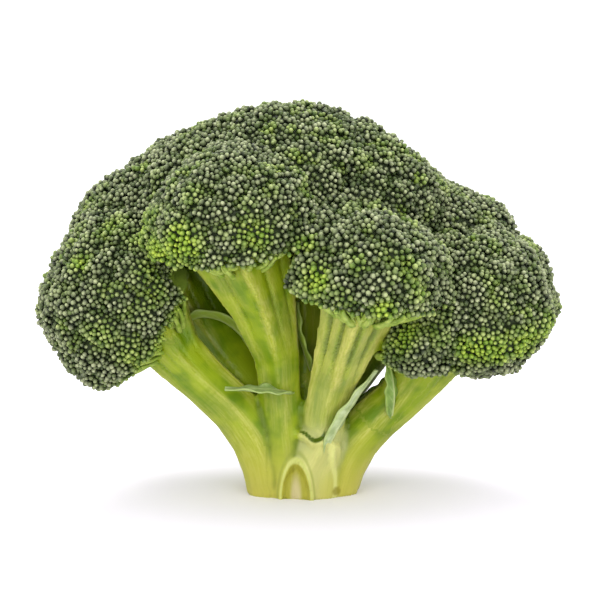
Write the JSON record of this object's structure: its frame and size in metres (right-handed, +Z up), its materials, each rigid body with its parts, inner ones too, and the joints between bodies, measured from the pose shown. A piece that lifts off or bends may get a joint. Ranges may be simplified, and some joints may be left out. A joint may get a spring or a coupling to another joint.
{
  "type": "broccoli head",
  "caption": "Fresh broccoli head standing on its cut stem: a fluted trunk that forks into branches, each carrying a domed floret packed with buds, with small leaves between.",
  "frame": {"origin": "centre of the stem's flat cut face, which the head stands on", "axes": "+Z up from the cut face through the crown, +X to the right along the crown's widest spread as seen from the front, and the front with the leaf scar faces -Y"},
  "size_m": [0.1663, 0.1376, 0.1252],
  "materials": {
    "buds": "matte",
    "stalk": "satin",
    "leaf": "satin"
  },
  "bodies": {
    "root": {"stem": "stalk", "floret_left": "buds", "floret_left_shoulder": "buds", "floret_front_left": "buds", "floret_front_right": "buds", "floret_front_low": "buds", "floret_right": "buds", "floret_right_low": "buds", "floret_right_shoulder": "buds", "floret_top": "buds", "floret_top_left": "buds", "floret_top_right": "buds", "floret_back_left": "buds", "floret_back": "buds", "floret_back_right": "buds", "leaf_front_low": "leaf", "leaf_front_cross": "leaf", "leaf_middle": "leaf", "leaf_left_inner": "leaf", "leaf_right": "leaf", "leaf_right_inner": "leaf"}
  },
  "joints": []
}
